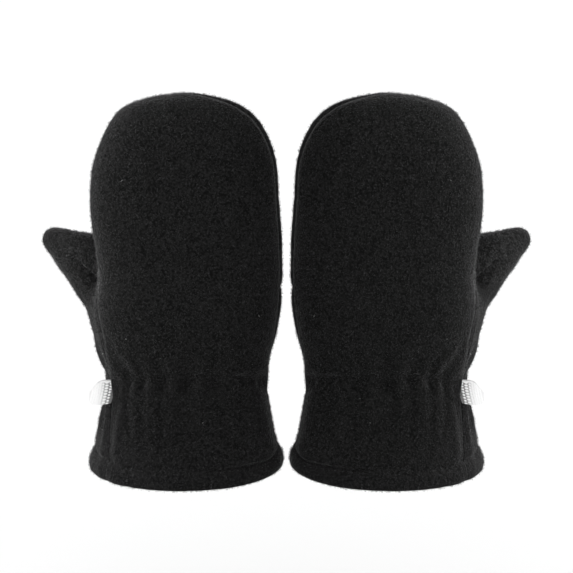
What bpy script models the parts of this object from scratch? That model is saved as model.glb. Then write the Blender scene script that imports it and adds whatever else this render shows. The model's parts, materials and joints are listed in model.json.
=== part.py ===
"""A pair of baby mittens in black fleece, filled out as they are on two small hands.

Each mitten is sewn from three cut pieces: the back of the hand, the palm base with the wrist
side of the thumb, and the palm top with the fingertip side of the thumb. An elastic stitched
round the wrist gathers the cloth, the hem is turned up, and a white tape tab is caught in the
seam beside the elastic.

Frame, in metres: the origin is midway between the two wrists, at the height where the
elastics cross the side seams. +Z runs to the fingertips, the backs of the hands face -Y, and
the thumbs point out along +-X. The right hand's mitten lies at -X, and the left hand's is its
mirror image.
"""

import math
from collections import namedtuple

import bmesh
import bpy
import numpy as np

MM = 0.001

# Driving dimensions, in millimetres. Heights are above the hem's lower edge, and widths are
# measured out from the mirror plane between the two mittens.
ELASTIC_HEIGHT = 31.0
ELASTIC_RISE = 6.5
ELASTIC_RISE_END = 78.0
ELASTIC_ROWS = 7.0
ELASTIC_PINCH = 1.0
GATHER_DEPTH = 1.6
GATHER_FADE_START = 3.0
GATHER_FADE = 6.0
STITCH_GROOVE = 2.0
FLEECE = 2.0
HEM_FOLD = 8.5
HEM_ROLL = 0.8
HEM_EDGE_ROUND = 1.2
HEM_EDGE = 0.05
SEAM_GAP = 0.36
HALF_WIDTH = 32.0
TAB_THICKNESS = 1.0

# The outline and fullness of the hand, from the hem to where the fingertips' dome starts.
# A side is where the cloth is widest. A bulge is how far the palm stands out past it. A roll is
# how far along the cloth a seam lies from it, towards the back, and the edge power tells how
# the palm's columns follow a rolled seam: evenly at 1, only the last of them at 12.
Section = namedtuple(
    "Section",
    "height thumb_side outer_side back_depth palm_depth squareness thumb_bulge outer_bulge "
    "thumb_roll outer_roll edge_power",
)
SECTIONS = (
    Section(0.0, 75.8, 2.0, 27.4, 27.4, 2.05, 0.4, 0.2, 20.3, -14.0, 1.5),
    Section(5.0, 74.4, 2.4, 26.6, 26.6, 2.05, 0.8, 0.2, 18.3, -13.0, 1.5),
    Section(9.5, 73.1, 3.8, 25.4, 25.4, 2.05, 1.8, 0.3, 16.3, -12.0, 1.5),
    Section(18.0, 70.4, 6.0, 21.8, 22.4, 2.10, 2.7, 0.5, 11.4, -9.5, 1.5),
    Section(27.0, 68.7, 7.3, 18.2, 19.8, 2.14, 2.2, 0.6, 8.0, -7.0, 2.5),
    Section(35.0, 67.8, 6.9, 17.2, 19.2, 2.18, 3.6, 0.7, 7.0, -4.5, 5.0),
    Section(42.0, 69.2, 6.9, 18.0, 20.4, 2.25, 4.3, 1.0, 7.6, -2.5, 8.0),
    Section(54.0, 70.2, 4.5, 19.2, 21.5, 2.40, 7.6, 1.4, 6.2, -0.8, 12.0),
    Section(66.0, 71.2, 3.2, 19.8, 22.0, 2.50, 4.0, 1.4, 4.6, 0.0, 12.0),
    Section(78.0, 69.8, 2.7, 19.8, 21.6, 2.50, 0.4, 1.2, 2.4, 0.0, 12.0),
    Section(90.0, 70.8, 2.8, 19.2, 20.4, 2.45, 0.0, 1.2, 0.8, 0.0, 12.0),
    Section(102.0, 71.9, 3.5, 17.8, 18.6, 2.35, 0.0, 1.2, 0.0, 0.0, 12.0),
    Section(112.0, 71.5, 4.1, 17.0, 17.6, 2.30, 0.0, 1.2, 0.0, 0.0, 12.0),
)

# The widest line's way round the fingertips, from the thumb side to the outer side, and the
# seam's roll from it, which is towards the palm at the top.
DomePoint = namedtuple("DomePoint", "out height roll")
DOME = (
    DomePoint(70.5, 117.8, 0.0),
    DomePoint(68.7, 123.4, 0.0),
    DomePoint(66.3, 128.5, -0.5),
    DomePoint(63.4, 133.5, -1.5),
    DomePoint(59.0, 138.1, -2.5),
    DomePoint(52.6, 140.9, -3.2),
    DomePoint(45.2, 142.5, -3.5),
    DomePoint(38.0, 143.2, -3.2),
    DomePoint(30.8, 142.5, -2.0),
    DomePoint(24.1, 141.0, -0.6),
    DomePoint(17.9, 138.6, 0.0),
    DomePoint(12.9, 135.1, 0.0),
    DomePoint(9.3, 130.5, 0.0),
    DomePoint(6.7, 124.9, 0.0),
    DomePoint(4.8, 118.7, 0.0),
)
DOME_MIDDLE = 37.6

# The thumb, from where it leaves the palm to its tip: each ring's centre, its half height
# across the thumb and its half depth from the back of the hand to the palm.
ThumbRing = namedtuple("ThumbRing", "out depth height half_height half_depth")
THUMB_RINGS = (
    ThumbRing(68.0, 15.4, 71.2, 15.9, 9.8),
    ThumbRing(73.5, 16.6, 74.8, 13.2, 9.3),
    ThumbRing(78.8, 18.5, 78.0, 10.6, 8.4),
    ThumbRing(83.7, 20.6, 80.7, 8.1, 7.3),
    ThumbRing(87.8, 22.6, 82.9, 6.1, 5.9),
    ThumbRing(90.9, 24.2, 84.5, 4.4, 4.5),
    ThumbRing(93.1, 25.3, 85.5, 2.6, 2.8),
)
THUMB_TIP = (94.2, 25.9, 86.0)

# The tab beside the elastic, from the side seam out to its fold.
TabStrip = namedtuple("TabStrip", "reach low high sway")
TAB = (
    TabStrip(0.6, 27.5, 36.4, -0.2),
    TabStrip(3.0, 27.3, 36.6, -0.4),
    TabStrip(5.0, 27.2, 35.8, -0.4),
    TabStrip(7.0, 27.4, 33.5, -0.2),
    TabStrip(8.4, 28.8, 31.6, 0.1),
)

# The mesh rows, in stretches of equal steps up the mitten.
Stretch = namedtuple("Stretch", "name top steps")
STRETCHES = (
    Stretch("fold", 1.6, 1),
    Stretch("hem", HEM_FOLD, 2),
    Stretch("cuff", 24.0, 3),
    Stretch("elastic", 38.0, 4),
    Stretch("heel", 52.0, 3),
    Stretch("thumb", 88.0, 6),
    Stretch("fingers", 112.0, 3),
)
COLUMNS = 12

# The wall's thickness: the hem is two layers, folded at its lower edge.
Wall = namedtuple("Wall", "height thickness")
WALLS = (
    Wall(0.0, 1.6),
    Wall(1.6, 3.2),
    Wall(5.0, 3.7),
    Wall(HEM_FOLD, 3.0),
    Wall(HEM_FOLD + 4.0, FLEECE),
)

# The thumb's opening in the palm, in mesh columns from the middle of the palm.
THUMB_FIRST_COLUMN = 5
THUMB_COLUMNS = 6

# How many mesh columns each gather takes, across the back and again across the palm.
GATHERS = (3, 4, 3, 4, 3, 4, 3)

# The largest folds, each a soft trough from one point to another, or a ridge where its depth
# is negative. A share is of the half width, with the thumb side positive.
Fold = namedtuple("Fold", "share height end_share end_height width depth")
BACK_FOLDS = (
    Fold(0.50, 35.0, 0.72, 47.0, 2.8, -0.6),
    Fold(0.62, 34.0, 0.86, 47.0, 3.2, 0.6),
    Fold(0.92, 12.0, 0.90, 26.0, 3.0, 0.8),
    Fold(-0.55, 33.0, -0.95, 31.0, 2.2, 1.0),
)
PALM_FOLDS = (
    Fold(0.70, 41.0, 0.20, 50.0, 3.4, 0.9),
    Fold(-0.30, 41.0, -0.70, 53.0, 3.0, 0.7),
    Fold(-0.90, 84.0, -0.20, 80.0, 3.6, 0.8),
    Fold(0.10, 12.0, 0.04, 26.0, 3.0, 0.9),
    Fold(-0.62, 13.0, -0.56, 25.0, 2.8, 0.8),
)


def spline(height, name):
    """A section's value at any height, on a smooth curve through the table's rows."""
    height = min(height, SECTIONS[-1].height)
    heights = [row.height for row in SECTIONS]
    values = [getattr(row, name) for row in SECTIONS]
    last = len(heights) - 1
    slopes = [0.0] * (last + 1)
    for i in range(1, last):
        slopes[i] = (values[i + 1] - values[i - 1]) / (heights[i + 1] - heights[i - 1])
    i = min(max(int(np.searchsorted(heights, height)) - 1, 0), last - 1)
    span = heights[i + 1] - heights[i]
    t = (height - heights[i]) / span
    return (
        values[i] * (1 + 2 * t) * (1 - t) ** 2
        + values[i + 1] * (3 - 2 * t) * t**2
        + slopes[i] * span * t * (1 - t) ** 2
        - slopes[i + 1] * span * (1 - t) * t**2
    )


def row_heights():
    """The height of every mesh row, from the hem up to the dome."""
    rows = [0.0]
    for stretch in STRETCHES:
        start = rows[-1]
        step = (stretch.top - start) / stretch.steps
        rows += [start + step * n for n in range(1, stretch.steps + 1)]
    return rows


ROWS = row_heights()
TOP_ROW = len(ROWS) - 1
DOME_STEPS = len(DOME) + 1
DOME_START = ROWS[-1]
PATH_STEPS = 2 * TOP_ROW + DOME_STEPS


def quarter_arc(wide, deep, power):
    """Points along a quarter of a squared ellipse, from the middle to the widest line."""
    angles = np.linspace(0, math.pi / 2, 181)
    across = wide * np.sin(angles) ** (2 / power)
    out = deep * np.cos(angles) ** (2 / power)
    return np.stack([across, out], axis=1)


def walked(line):
    """How far along a line each of its points is."""
    return np.append(0, np.cumsum(np.linalg.norm(np.diff(line, axis=0), axis=1)))


def path_section(step):
    """Where a step of the path round the hand starts in the middle of the panel.

    The path climbs the thumb side, goes round the fingertips and comes down the outer side.
    It gives the middle point, the direction out, the widest line's distance and height, and
    the seam's roll from that line.
    """
    if TOP_ROW < step < TOP_ROW + DOME_STEPS:
        point = DOME[step - TOP_ROW - 1]
        out, up = point.out - DOME_MIDDLE, point.height - DOME_START
        far = math.hypot(out, up)
        return (DOME_MIDDLE, DOME_START), (out / far, up / far), far, DOME_START, point.roll
    row = step if step <= TOP_ROW else PATH_STEPS - step
    height = ROWS[row]
    sides = spline(height, "thumb_side"), spline(height, "outer_side")
    middle = DOME_MIDDLE if row == TOP_ROW else sum(sides) / 2
    if step <= TOP_ROW:
        return (middle, height), (1, 0), sides[0] - middle, height, spline(height, "thumb_roll")
    return (middle, height), (-1, 0), middle - sides[1], height, spline(height, "outer_roll")


def bulge_share(share):
    """The shape of the palm's bulge: nothing at the widest line, most just inside it."""
    peak = 6 / 7
    return share**6 * (1 - share) / (peak**6 * (1 - peak))


def half_line(side, step):
    """A panel's line at a step, from its middle to the widest line: distance out, and depth."""
    _, direction, wide, height, _ = path_section(step)
    deep = spline(height, "back_depth" if side < 0 else "palm_depth")
    line = quarter_arc(wide, deep, spline(height, "squareness"))
    if side > 0:
        lean = (1 + direction[0]) / 2
        bulge = lean * spline(height, "thumb_bulge")
        bulge += (1 - lean) * spline(height, "outer_bulge")
        along = walked(line)
        line[:, 0] += bulge * bulge_share(along / along[-1])
    line[:, 1] *= side
    return line


def panel_points(side):
    """Every point of the back (side -1) or of the palm (side 1): [step][column]."""
    points = np.zeros((PATH_STEPS + 1, COLUMNS + 1, 3))
    share = np.arange(COLUMNS + 1) / COLUMNS
    for step in range(PATH_STEPS + 1):
        middle, direction, _, height, roll = path_section(step)
        own, other = half_line(side, step), half_line(-side, step)
        line = np.vstack([own, other[-2::-1]])
        power = spline(height, "edge_power") if side > 0 and roll > 0 else 1
        stops = share * walked(own)[-1] + side * roll * share**power
        across = np.interp(stops, walked(line), line[:, 0])
        points[step, :, 0] = middle[0] + direction[0] * across
        points[step, :, 1] = np.interp(stops, walked(line), line[:, 1])
        points[step, :, 2] = middle[1] + direction[1] * across
        points[step, :, 2] += [lift(column, height) for column in range(COLUMNS + 1)]
    return points


def lift(column, height):
    """How far the cloth is drawn up in the middle of a panel, most at the elastic."""
    if height < ELASTIC_HEIGHT:
        rising = max(height - HEM_FOLD, 0.0) / (ELASTIC_HEIGHT - HEM_FOLD)
    else:
        rising = max(ELASTIC_RISE_END - height, 0.0) / (ELASTIC_RISE_END - ELASTIC_HEIGHT)
    return ELASTIC_RISE * math.sin(math.pi / 2 * rising) ** 2 * (1 - (column / COLUMNS) ** 2)


def bump(distance, width):
    return math.exp(-((distance / width) ** 2))


def relief(side, step, column, share, height):
    """How far a point stands out of the plain form: the hem's roll, the gathers and folds."""
    rise = HEM_ROLL * math.sin(math.pi * min(height / HEM_FOLD, 1.0) ** 0.8)
    rise -= HEM_ROLL * bump(height - HEM_FOLD, STITCH_GROOVE)
    rise -= HEM_EDGE_ROUND * bump(height, HEM_EDGE_ROUND)
    at_seam = bump(COLUMNS - column, 1.2)
    from_elastic = abs(height - ELASTIC_HEIGHT)
    pinch = bump(from_elastic - ELASTIC_ROWS / 2, STITCH_GROOVE)
    rise -= ELASTIC_PINCH * pinch * (1 - at_seam)
    spread = bump(max(from_elastic - GATHER_FADE_START, 0.0), GATHER_FADE) * (1 - 0.6 * at_seam)
    along = column if step <= TOP_ROW else -column
    rise += GATHER_DEPTH / 2 * spread * gather_wave(along + COLUMNS)
    for fold in BACK_FOLDS if side < 0 else PALM_FOLDS:
        rise -= fold.depth * bump(fold_distance(fold, share, height), fold.width)
    return rise


def gather_wave(column):
    """-1 in the pinches between two gathers, up to 1 on their crests."""
    start = 0
    for width in GATHERS:
        if column <= start + width:
            return -math.cos(2 * math.pi * (column - start) / width)
        start += width
    return -1.0


def fold_distance(fold, share, height):
    """How far a point of a panel lies from a fold's line, in millimetres."""
    point = np.array([share * HALF_WIDTH, height])
    start = np.array([fold.share * HALF_WIDTH, fold.height])
    run = np.array([fold.end_share * HALF_WIDTH, fold.end_height]) - start
    t = min(max(float((point - start) @ run) / float(run @ run), 0.0), 1.0)
    return float(np.linalg.norm(point - start - t * run))


class Mitten:
    """The whole outer surface of one mitten, whose faces each belong to a cut piece."""

    def __init__(self):
        self.points = []
        self.relief = []
        self.faces = []
        self.pieces = []
        self.soft = set()
        self.seam = [None] * (PATH_STEPS + 1)
        self.back = self.add_panel(-1)
        self.palm = self.add_panel(1)
        self.join_panel(self.back, -1)
        self.join_panel(self.palm, 1)
        self.add_thumb()

    def add(self, point, rise=0.0):
        self.points.append(np.array(point, float))
        self.relief.append(rise)
        return len(self.points) - 1

    def add_panel(self, side):
        """Adds a panel's points and returns their numbers. The seam's points are shared."""
        points = panel_points(side)
        if side > 0:
            points = self.round_thumb_opening(points)
        numbers = np.zeros((PATH_STEPS + 1, COLUMNS + 1), int)
        for step in range(PATH_STEPS + 1):
            _, direction, _, height, _ = path_section(step)
            for column in range(COLUMNS + 1):
                share = direction[0] * column / COLUMNS
                if column == 0 and step > TOP_ROW:
                    numbers[step, 0] = numbers[min(PATH_STEPS - step, TOP_ROW), 0]
                    continue
                if column == COLUMNS and self.seam[step] is not None:
                    numbers[step, column] = self.seam[step]
                    continue
                rise = 0.0
                if not TOP_ROW < step < TOP_ROW + DOME_STEPS:
                    rise = relief(side, step, column, share, height)
                numbers[step, column] = self.add(points[step, column], rise)
                if column == COLUMNS:
                    self.seam[step] = int(numbers[step, column])
        return numbers

    def join_panel(self, numbers, side):
        opening = range(THUMB_FIRST_COLUMN, THUMB_FIRST_COLUMN + THUMB_COLUMNS)
        first, last = thumb_rows()
        middle = (first + last) // 2
        for step in range(PATH_STEPS):
            row = step if step < TOP_ROW else PATH_STEPS - 1 - step
            in_dome = TOP_ROW <= step < TOP_ROW + DOME_STEPS
            for column in range(COLUMNS):
                if side > 0 and first <= step < last and column in opening:
                    continue
                corners = [
                    int(numbers[step, column]),
                    int(numbers[step, column + 1]),
                    int(numbers[step + 1, column + 1]),
                    int(numbers[step + 1, column]),
                ]
                piece = "back"
                if side > 0:
                    piece = "palm_top" if in_dome or row >= middle else "palm_base"
                self.add_face(corners, piece, flip=side > 0)

    def add_face(self, corners, piece, flip=False):
        corners = list(dict.fromkeys(corners))
        self.faces.append(corners[::-1] if flip else corners)
        self.pieces.append(piece)

    def round_thumb_opening(self, points):
        """Draws the square opening's edge in to a circle, in mesh steps."""
        first, last = thumb_rows()
        half = (last - first) / 2
        centre = (first + last) / 2, THUMB_FIRST_COLUMN + half
        rounded = points.copy()
        for step in range(first, last + 1):
            for column in range(THUMB_FIRST_COLUMN, THUMB_FIRST_COLUMN + THUMB_COLUMNS + 1):
                up = (step - centre[0]) / half
                across = (column - centre[1]) / half
                if max(abs(up), abs(across)) == 1:
                    shrink = 1 / math.hypot(up, across)
                    at = centre[0] + up * half * shrink, centre[1] + across * half * shrink
                    rounded[step, column] = between(points, at)
        return rounded

    def opening_loop(self):
        """The opening's points, from the seam side's middle up and round, as numbers."""
        first, last = thumb_rows()
        middle = (first + last) // 2
        near, far = THUMB_FIRST_COLUMN + THUMB_COLUMNS, THUMB_FIRST_COLUMN
        loop = [(step, near) for step in range(middle, last)]
        loop += [(last, column) for column in range(near, far, -1)]
        loop += [(step, far) for step in range(last, first, -1)]
        loop += [(first, column) for column in range(far, near)]
        loop += [(step, near) for step in range(first, middle)]
        return [int(self.palm[place]) for place in loop]

    def add_thumb(self):
        loop = self.opening_loop()
        self.soft.update(loop)
        self.soft.update(self.around(loop))
        count = len(loop)
        centres = [np.array([r.out, r.depth, r.height]) for r in THUMB_RINGS]
        centres.append(np.array(THUMB_TIP))
        for number, ring in enumerate(THUMB_RINGS):
            axis = centres[number + 1] - centres[max(number - 1, 0)]
            axis /= np.linalg.norm(axis)
            up = np.array([-axis[2], 0.0, axis[0]])
            up /= np.linalg.norm(up)
            toward_back = np.cross(up, axis)
            if toward_back[1] > 0:
                toward_back = -toward_back
            next_loop = []
            for place in range(count):
                angle = 2 * math.pi * place / count
                point = centres[number] + ring.half_height * math.sin(angle) * up
                point = point + ring.half_depth * math.cos(angle) * toward_back
                next_loop.append(self.add(point))
            self.join_thumb(loop, next_loop)
            loop = next_loop
            if number == 0:
                self.soft.update(loop)
        tip = self.add(THUMB_TIP)
        self.join_thumb(loop, [tip] * count)

    def join_thumb(self, loop, next_loop):
        count = len(loop)
        for place in range(count):
            after = (place + 1) % count
            corners = [loop[after], loop[place], next_loop[place], next_loop[after]]
            self.add_face(corners, "palm_top" if place < count // 2 else "palm_base")

    def around(self, loop):
        """The palm's points next to the opening, without those on the side seam."""
        found = set()
        for face in self.faces:
            if set(face) & set(loop):
                found |= set(face)
        return found - set(loop) - set(self.seam)

    def surface(self):
        """The outer points with the relief raised, and the normals of the whole surface."""
        mesh = bmesh.new()
        for point in self.points:
            mesh.verts.new(point)
        mesh.verts.ensure_lookup_table()
        for face in self.faces:
            mesh.faces.new([mesh.verts[i] for i in face])
        soft = [mesh.verts[i] for i in sorted(self.soft)]
        for _ in range(3):
            bmesh.ops.smooth_vert(
                mesh, verts=soft, factor=0.5, use_axis_x=True, use_axis_y=True, use_axis_z=True
            )
        mesh.normal_update()
        for vert, rise in zip(mesh.verts, self.relief):
            height = vert.co.z
            vert.co += vert.normal * rise
            vert.co.z = height
        mesh.normal_update()
        points = np.array([vert.co[:] for vert in mesh.verts])
        normals = np.array([vert.normal[:] for vert in mesh.verts])
        mesh.free()
        return points, normals


def thumb_rows():
    """The first and last mesh row of the thumb's opening."""
    steps = [stretch.steps for stretch in STRETCHES]
    place = [stretch.name for stretch in STRETCHES].index("thumb")
    return sum(steps[:place]), sum(steps[: place + 1])


def between(points, at):
    """The point at a place between four mesh points."""
    step, column = int(at[0]), int(at[1])
    up, across = at[0] - step, at[1] - column
    low = points[step, column] * (1 - across) + points[step, column + 1] * across
    high = points[step + 1, column] * (1 - across) + points[step + 1, column + 1] * across
    return low * (1 - up) + high * up


def thickness_at(height):
    """The wall's thickness at a height above the hem."""
    return float(np.interp(height, [w.height for w in WALLS], [w.thickness for w in WALLS]))


def seam_shift(points, face_normals, edges):
    """How a cut edge's point moves back by half the seam's gap, into its own piece."""
    inward = []
    for first, second, face in edges:
        along = points[second] - points[first]
        across = np.cross(face_normals[face], along)
        inward.append(across / np.linalg.norm(across))
    if len(inward) == 1:
        return SEAM_GAP / 2 * inward[0]
    return SEAM_GAP / 2 * (inward[0] + inward[1]) / (1 + inward[0] @ inward[1])


def face_normal(points, face):
    first = points[face[2]] - points[face[0]]
    second = points[face[-1]] - points[face[1]]
    normal = np.cross(first, second)
    return normal / np.linalg.norm(normal)


def wall_of(points, normals, faces):
    """One cut piece as a closed wall: its outer points, its inner points and its rim."""
    edge_faces = {}
    for index, face in enumerate(faces):
        for first, second in zip(face, face[1:] + face[:1]):
            edge_faces[first, second] = index
    cut = [edge for edge in edge_faces if edge[::-1] not in edge_faces]
    face_normals = [face_normal(points, face) for face in faces]
    used = sorted({number for face in faces for number in face})
    outer, inner = {}, {}
    for number in used:
        edges = [
            (first, second, edge_faces[first, second])
            for first, second in cut
            if number in (first, second) and max(points[first][2], points[second][2]) > HEM_EDGE
        ]
        point = points[number]
        if edges:
            point = point + seam_shift(points, face_normals, edges)
        deep = point - thickness_at(point[2]) * normals[number]
        if points[number][2] < HEM_EDGE:
            point[2] = deep[2] = 0.0
        outer[number], inner[number] = point, deep
    place = {number: index for index, number in enumerate(used)}
    count = len(used)
    wall = [[place[n] for n in face] for face in faces]
    wall += [[place[n] + count for n in face[::-1]] for face in faces]
    wall += [
        [place[second], place[first], place[first] + count, place[second] + count]
        for first, second in cut
    ]
    return [outer[n] for n in used] + [inner[n] for n in used], wall


def tab_solid(seam):
    """The folded tape tab: a thin plate from the side seam, whose points are given, out."""
    seam = sorted((point[2], point[0], point[1]) for point in seam)
    seam_heights, seam_outs, seam_depths = zip(*seam)
    levels, points, faces = 3, [], []
    for strip in TAB:
        for level in range(levels + 1):
            height = strip.low + (strip.high - strip.low) * level / levels
            out = float(np.interp(height, seam_heights, seam_outs)) + strip.reach
            depth = float(np.interp(height, seam_heights, seam_depths)) + strip.sway
            for half in (-TAB_THICKNESS / 2, TAB_THICKNESS / 2):
                points.append(np.array([out, depth + half, height]))

    def at(strip, level, layer):
        return (strip * (levels + 1) + level) * 2 + layer

    last = len(TAB) - 1
    for strip in range(last):
        for level in range(levels):
            for layer in (0, 1):
                corners = [
                    at(strip, level, layer),
                    at(strip + 1, level, layer),
                    at(strip + 1, level + 1, layer),
                    at(strip, level + 1, layer),
                ]
                faces.append(corners if layer == 0 else corners[::-1])
        for level, flip in ((0, True), (levels, False)):
            corners = [
                at(strip, level, 0),
                at(strip + 1, level, 0),
                at(strip + 1, level, 1),
                at(strip, level, 1),
            ]
            faces.append(corners[::-1] if flip else corners)
    for level in range(levels):
        for strip, flip in ((0, False), (last, True)):
            corners = [
                at(strip, level, 0),
                at(strip, level + 1, 0),
                at(strip, level + 1, 1),
                at(strip, level, 1),
            ]
            faces.append(corners[::-1] if flip else corners)
    return points, faces


def material(name, colour, roughness):
    made = bpy.data.materials.new(name)
    made.use_nodes = True
    shader = made.node_tree.nodes["Principled BSDF"]
    shader.inputs["Base Color"].default_value = (*colour, 1.0)
    shader.inputs["Roughness"].default_value = roughness
    return made


def place_piece(name, points, faces, finish, mirror):
    """Puts a piece where it is worn: mirror is -1 for the right hand, 1 for the left."""
    placed = [
        (mirror * point[0] * MM, point[1] * MM, (point[2] - ELASTIC_HEIGHT) * MM)
        for point in points
    ]
    if mirror < 0:
        faces = [face[::-1] for face in faces]
    mesh = bpy.data.meshes.new(name)
    mesh.from_pydata(placed, [], faces)
    mesh.materials.append(finish)
    mesh.shade_smooth()
    mesh.set_sharp_from_angle(angle=math.radians(50))
    piece = bpy.data.objects.new(name, mesh)
    bpy.context.scene.collection.objects.link(piece)


def build():
    for old in list(bpy.data.objects):
        bpy.data.objects.remove(old)
    fleece = material("black_fleece", (0.012, 0.012, 0.013), 0.95)
    tape = material("white_tape", (0.80, 0.80, 0.80), 0.7)
    mitten = Mitten()
    points, normals = mitten.surface()
    for hand, mirror in (("right", -1), ("left", 1)):
        for piece in ("back", "palm_base", "palm_top"):
            faces = [f for f, owner in zip(mitten.faces, mitten.pieces) if owner == piece]
            wall = wall_of(points, normals, faces)
            place_piece(f"{hand}_{piece}", *wall, fleece, mirror)
        seam = [points[number] for number in mitten.seam[: TOP_ROW + 1]]
        place_piece(f"{hand}_tape_tab", *tab_solid(seam), tape, mirror)


build()
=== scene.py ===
"""The looks of a pair of baby mittens in black fleece, filled out as on two small hands.

Each mitten is sewn from three pieces: the back, the palm base and the palm top. A hidden
elastic gathers the wrist, the hem is turned up inside, and a white tape tab is in the seam.

Lengths in the tables are millimetres: out is measured from the plane between the two mittens,
depth from the side seams towards the palm, and height from the hem's lower edge. The right
hand's mitten lies at -X and is the mirror image of the left hand's.
"""

import json
import math
from collections import namedtuple

import bmesh
import bpy
import numpy as np
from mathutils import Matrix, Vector, kdtree, noise

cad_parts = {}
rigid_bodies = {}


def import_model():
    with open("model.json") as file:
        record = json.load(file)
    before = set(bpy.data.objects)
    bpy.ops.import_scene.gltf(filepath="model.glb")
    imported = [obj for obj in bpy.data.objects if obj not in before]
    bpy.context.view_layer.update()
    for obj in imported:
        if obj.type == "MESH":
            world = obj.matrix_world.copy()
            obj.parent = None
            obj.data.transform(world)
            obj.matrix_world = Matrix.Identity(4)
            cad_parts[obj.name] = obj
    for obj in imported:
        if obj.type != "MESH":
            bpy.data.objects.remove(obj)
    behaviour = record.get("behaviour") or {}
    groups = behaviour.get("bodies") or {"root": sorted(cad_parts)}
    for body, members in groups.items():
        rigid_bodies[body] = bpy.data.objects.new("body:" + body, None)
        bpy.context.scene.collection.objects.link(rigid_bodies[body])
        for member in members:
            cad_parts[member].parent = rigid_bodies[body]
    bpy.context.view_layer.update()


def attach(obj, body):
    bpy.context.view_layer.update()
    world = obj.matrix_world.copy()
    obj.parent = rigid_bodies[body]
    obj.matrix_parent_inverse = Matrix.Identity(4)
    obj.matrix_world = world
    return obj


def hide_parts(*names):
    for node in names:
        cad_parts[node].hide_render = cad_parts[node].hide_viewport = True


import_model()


# ---- The back of the hand ----
# One piece of black fleece, about 2 mm thick, covers the back of the hand and of the cuff.
# It is sewn to the two palm pieces all round, so its edge rolls over into the seam. The
# elastic gathers it at the wrist and its lower edge is folded up inside as the hem.

MM = 0.001
HANDS = (("right", -1), ("left", 1))
ELASTIC_HEIGHT = 31.0
ELASTIC_RISE = 6.5
ELASTIC_RISE_END = 78.0
HEM_FOLD = 8.5
COLUMNS = 12


def table(kind, *rows):
    """A table's rows, each with its columns named."""
    return [kind(*row) for row in rows]


# A side is where the cloth is widest. A bulge is how far the palm stands out past it. A roll is
# how far along the cloth a seam lies from it, towards the back, and the edge power tells how
# the palm's columns follow a rolled seam: evenly at 1, only the last of them at 12.
Section = namedtuple(
    "Section",
    "height thumb_side outer_side back_depth palm_depth squareness thumb_bulge outer_bulge "
    "thumb_roll outer_roll edge_power",
)
SECTIONS = table(
    Section,
    (0, 75.8, 2, 27.4, 27.4, 2.05, 0.4, 0.2, 20.3, -14, 1.5),
    (5, 74.4, 2.4, 26.6, 26.6, 2.05, 0.8, 0.2, 18.3, -13, 1.5),
    (9.5, 73.1, 3.8, 25.4, 25.4, 2.05, 1.8, 0.3, 16.3, -12, 1.5),
    (18, 70.4, 6, 21.8, 22.4, 2.1, 2.7, 0.5, 11.4, -9.5, 1.5),
    (27, 68.7, 7.3, 18.2, 19.8, 2.14, 2.2, 0.6, 8, -7, 2.5),
    (35, 67.8, 6.9, 17.2, 19.2, 2.18, 3.6, 0.7, 7, -4.5, 5),
    (42, 69.2, 6.9, 18, 20.4, 2.25, 4.3, 1, 7.6, -2.5, 8),
    (54, 70.2, 4.5, 19.2, 21.5, 2.4, 7.6, 1.4, 6.2, -0.8, 12),
    (66, 71.2, 3.2, 19.8, 22, 2.5, 4, 1.4, 4.6, 0, 12),
    (78, 69.8, 2.7, 19.8, 21.6, 2.5, 0.4, 1.2, 2.4, 0, 12),
    (90, 70.8, 2.8, 19.2, 20.4, 2.45, 0, 1.2, 0.8, 0, 12),
    (102, 71.9, 3.5, 17.8, 18.6, 2.35, 0, 1.2, 0, 0, 12),
    (112, 71.5, 4.1, 17, 17.6, 2.3, 0, 1.2, 0, 0, 12),
)

# The widest line's way round the fingertips, from the thumb side to the outer side, and the
# seam's roll from it, which is towards the palm at the top.
DomePoint = namedtuple("DomePoint", "out height roll")
DOME = table(
    DomePoint,
    (70.5, 117.8, 0), (68.7, 123.4, 0), (66.3, 128.5, -0.5), (63.4, 133.5, -1.5),
    (59, 138.1, -2.5), (52.6, 140.9, -3.2), (45.2, 142.5, -3.5), (38, 143.2, -3.2),
    (30.8, 142.5, -2), (24.1, 141, -0.6), (17.9, 138.6, 0), (12.9, 135.1, 0), (9.3, 130.5, 0),
    (6.7, 124.9, 0), (4.8, 118.7, 0),
)
DOME_MIDDLE = 37.6
BULGE_POWER = 6

Stretch = namedtuple("Stretch", "name top steps")
STRETCHES = table(
    Stretch,
    ("fold", 1.6, 1),
    ("hem", HEM_FOLD, 2),
    ("cuff", 24, 3),
    ("elastic", 38, 4),
    ("heel", 52, 3),
    ("thumb", 88, 6),
    ("fingers", 112, 3),
)
ROWS = [0.0]
for stretch in STRETCHES:
    row_step = (stretch.top - ROWS[-1]) / stretch.steps
    ROWS += [ROWS[-1] + row_step * (number + 1) for number in range(stretch.steps)]
TOP_ROW = len(ROWS) - 1
DOME_STEPS = len(DOME) + 1
PATH_STEPS = 2 * TOP_ROW + DOME_STEPS


def section_value(height, name):
    """A section's value at any height, on a smooth curve through the table's rows."""
    heights = [row.height for row in SECTIONS]
    values = [getattr(row, name) for row in SECTIONS]
    height, last = min(height, heights[-1]), len(heights) - 1
    slopes = [0.0] * (last + 1)
    for i in range(1, last):
        slopes[i] = (values[i + 1] - values[i - 1]) / (heights[i + 1] - heights[i - 1])
    i = min(max(int(np.searchsorted(heights, height)) - 1, 0), last - 1)
    span = heights[i + 1] - heights[i]
    t = (height - heights[i]) / span
    return (
        values[i] * (1 + 2 * t) * (1 - t) ** 2
        + values[i + 1] * (3 - 2 * t) * t**2
        + slopes[i] * span * t * (1 - t) ** 2
        - slopes[i + 1] * span * (1 - t) * t**2
    )


def quarter_arc(wide, deep, power):
    """Points along a quarter of a squared ellipse, from the middle to the widest line."""
    angles = np.linspace(0, math.pi / 2, 181)
    across = wide * np.sin(angles) ** (2 / power)
    out = deep * np.cos(angles) ** (2 / power)
    return np.stack([across, out], axis=1)


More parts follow.
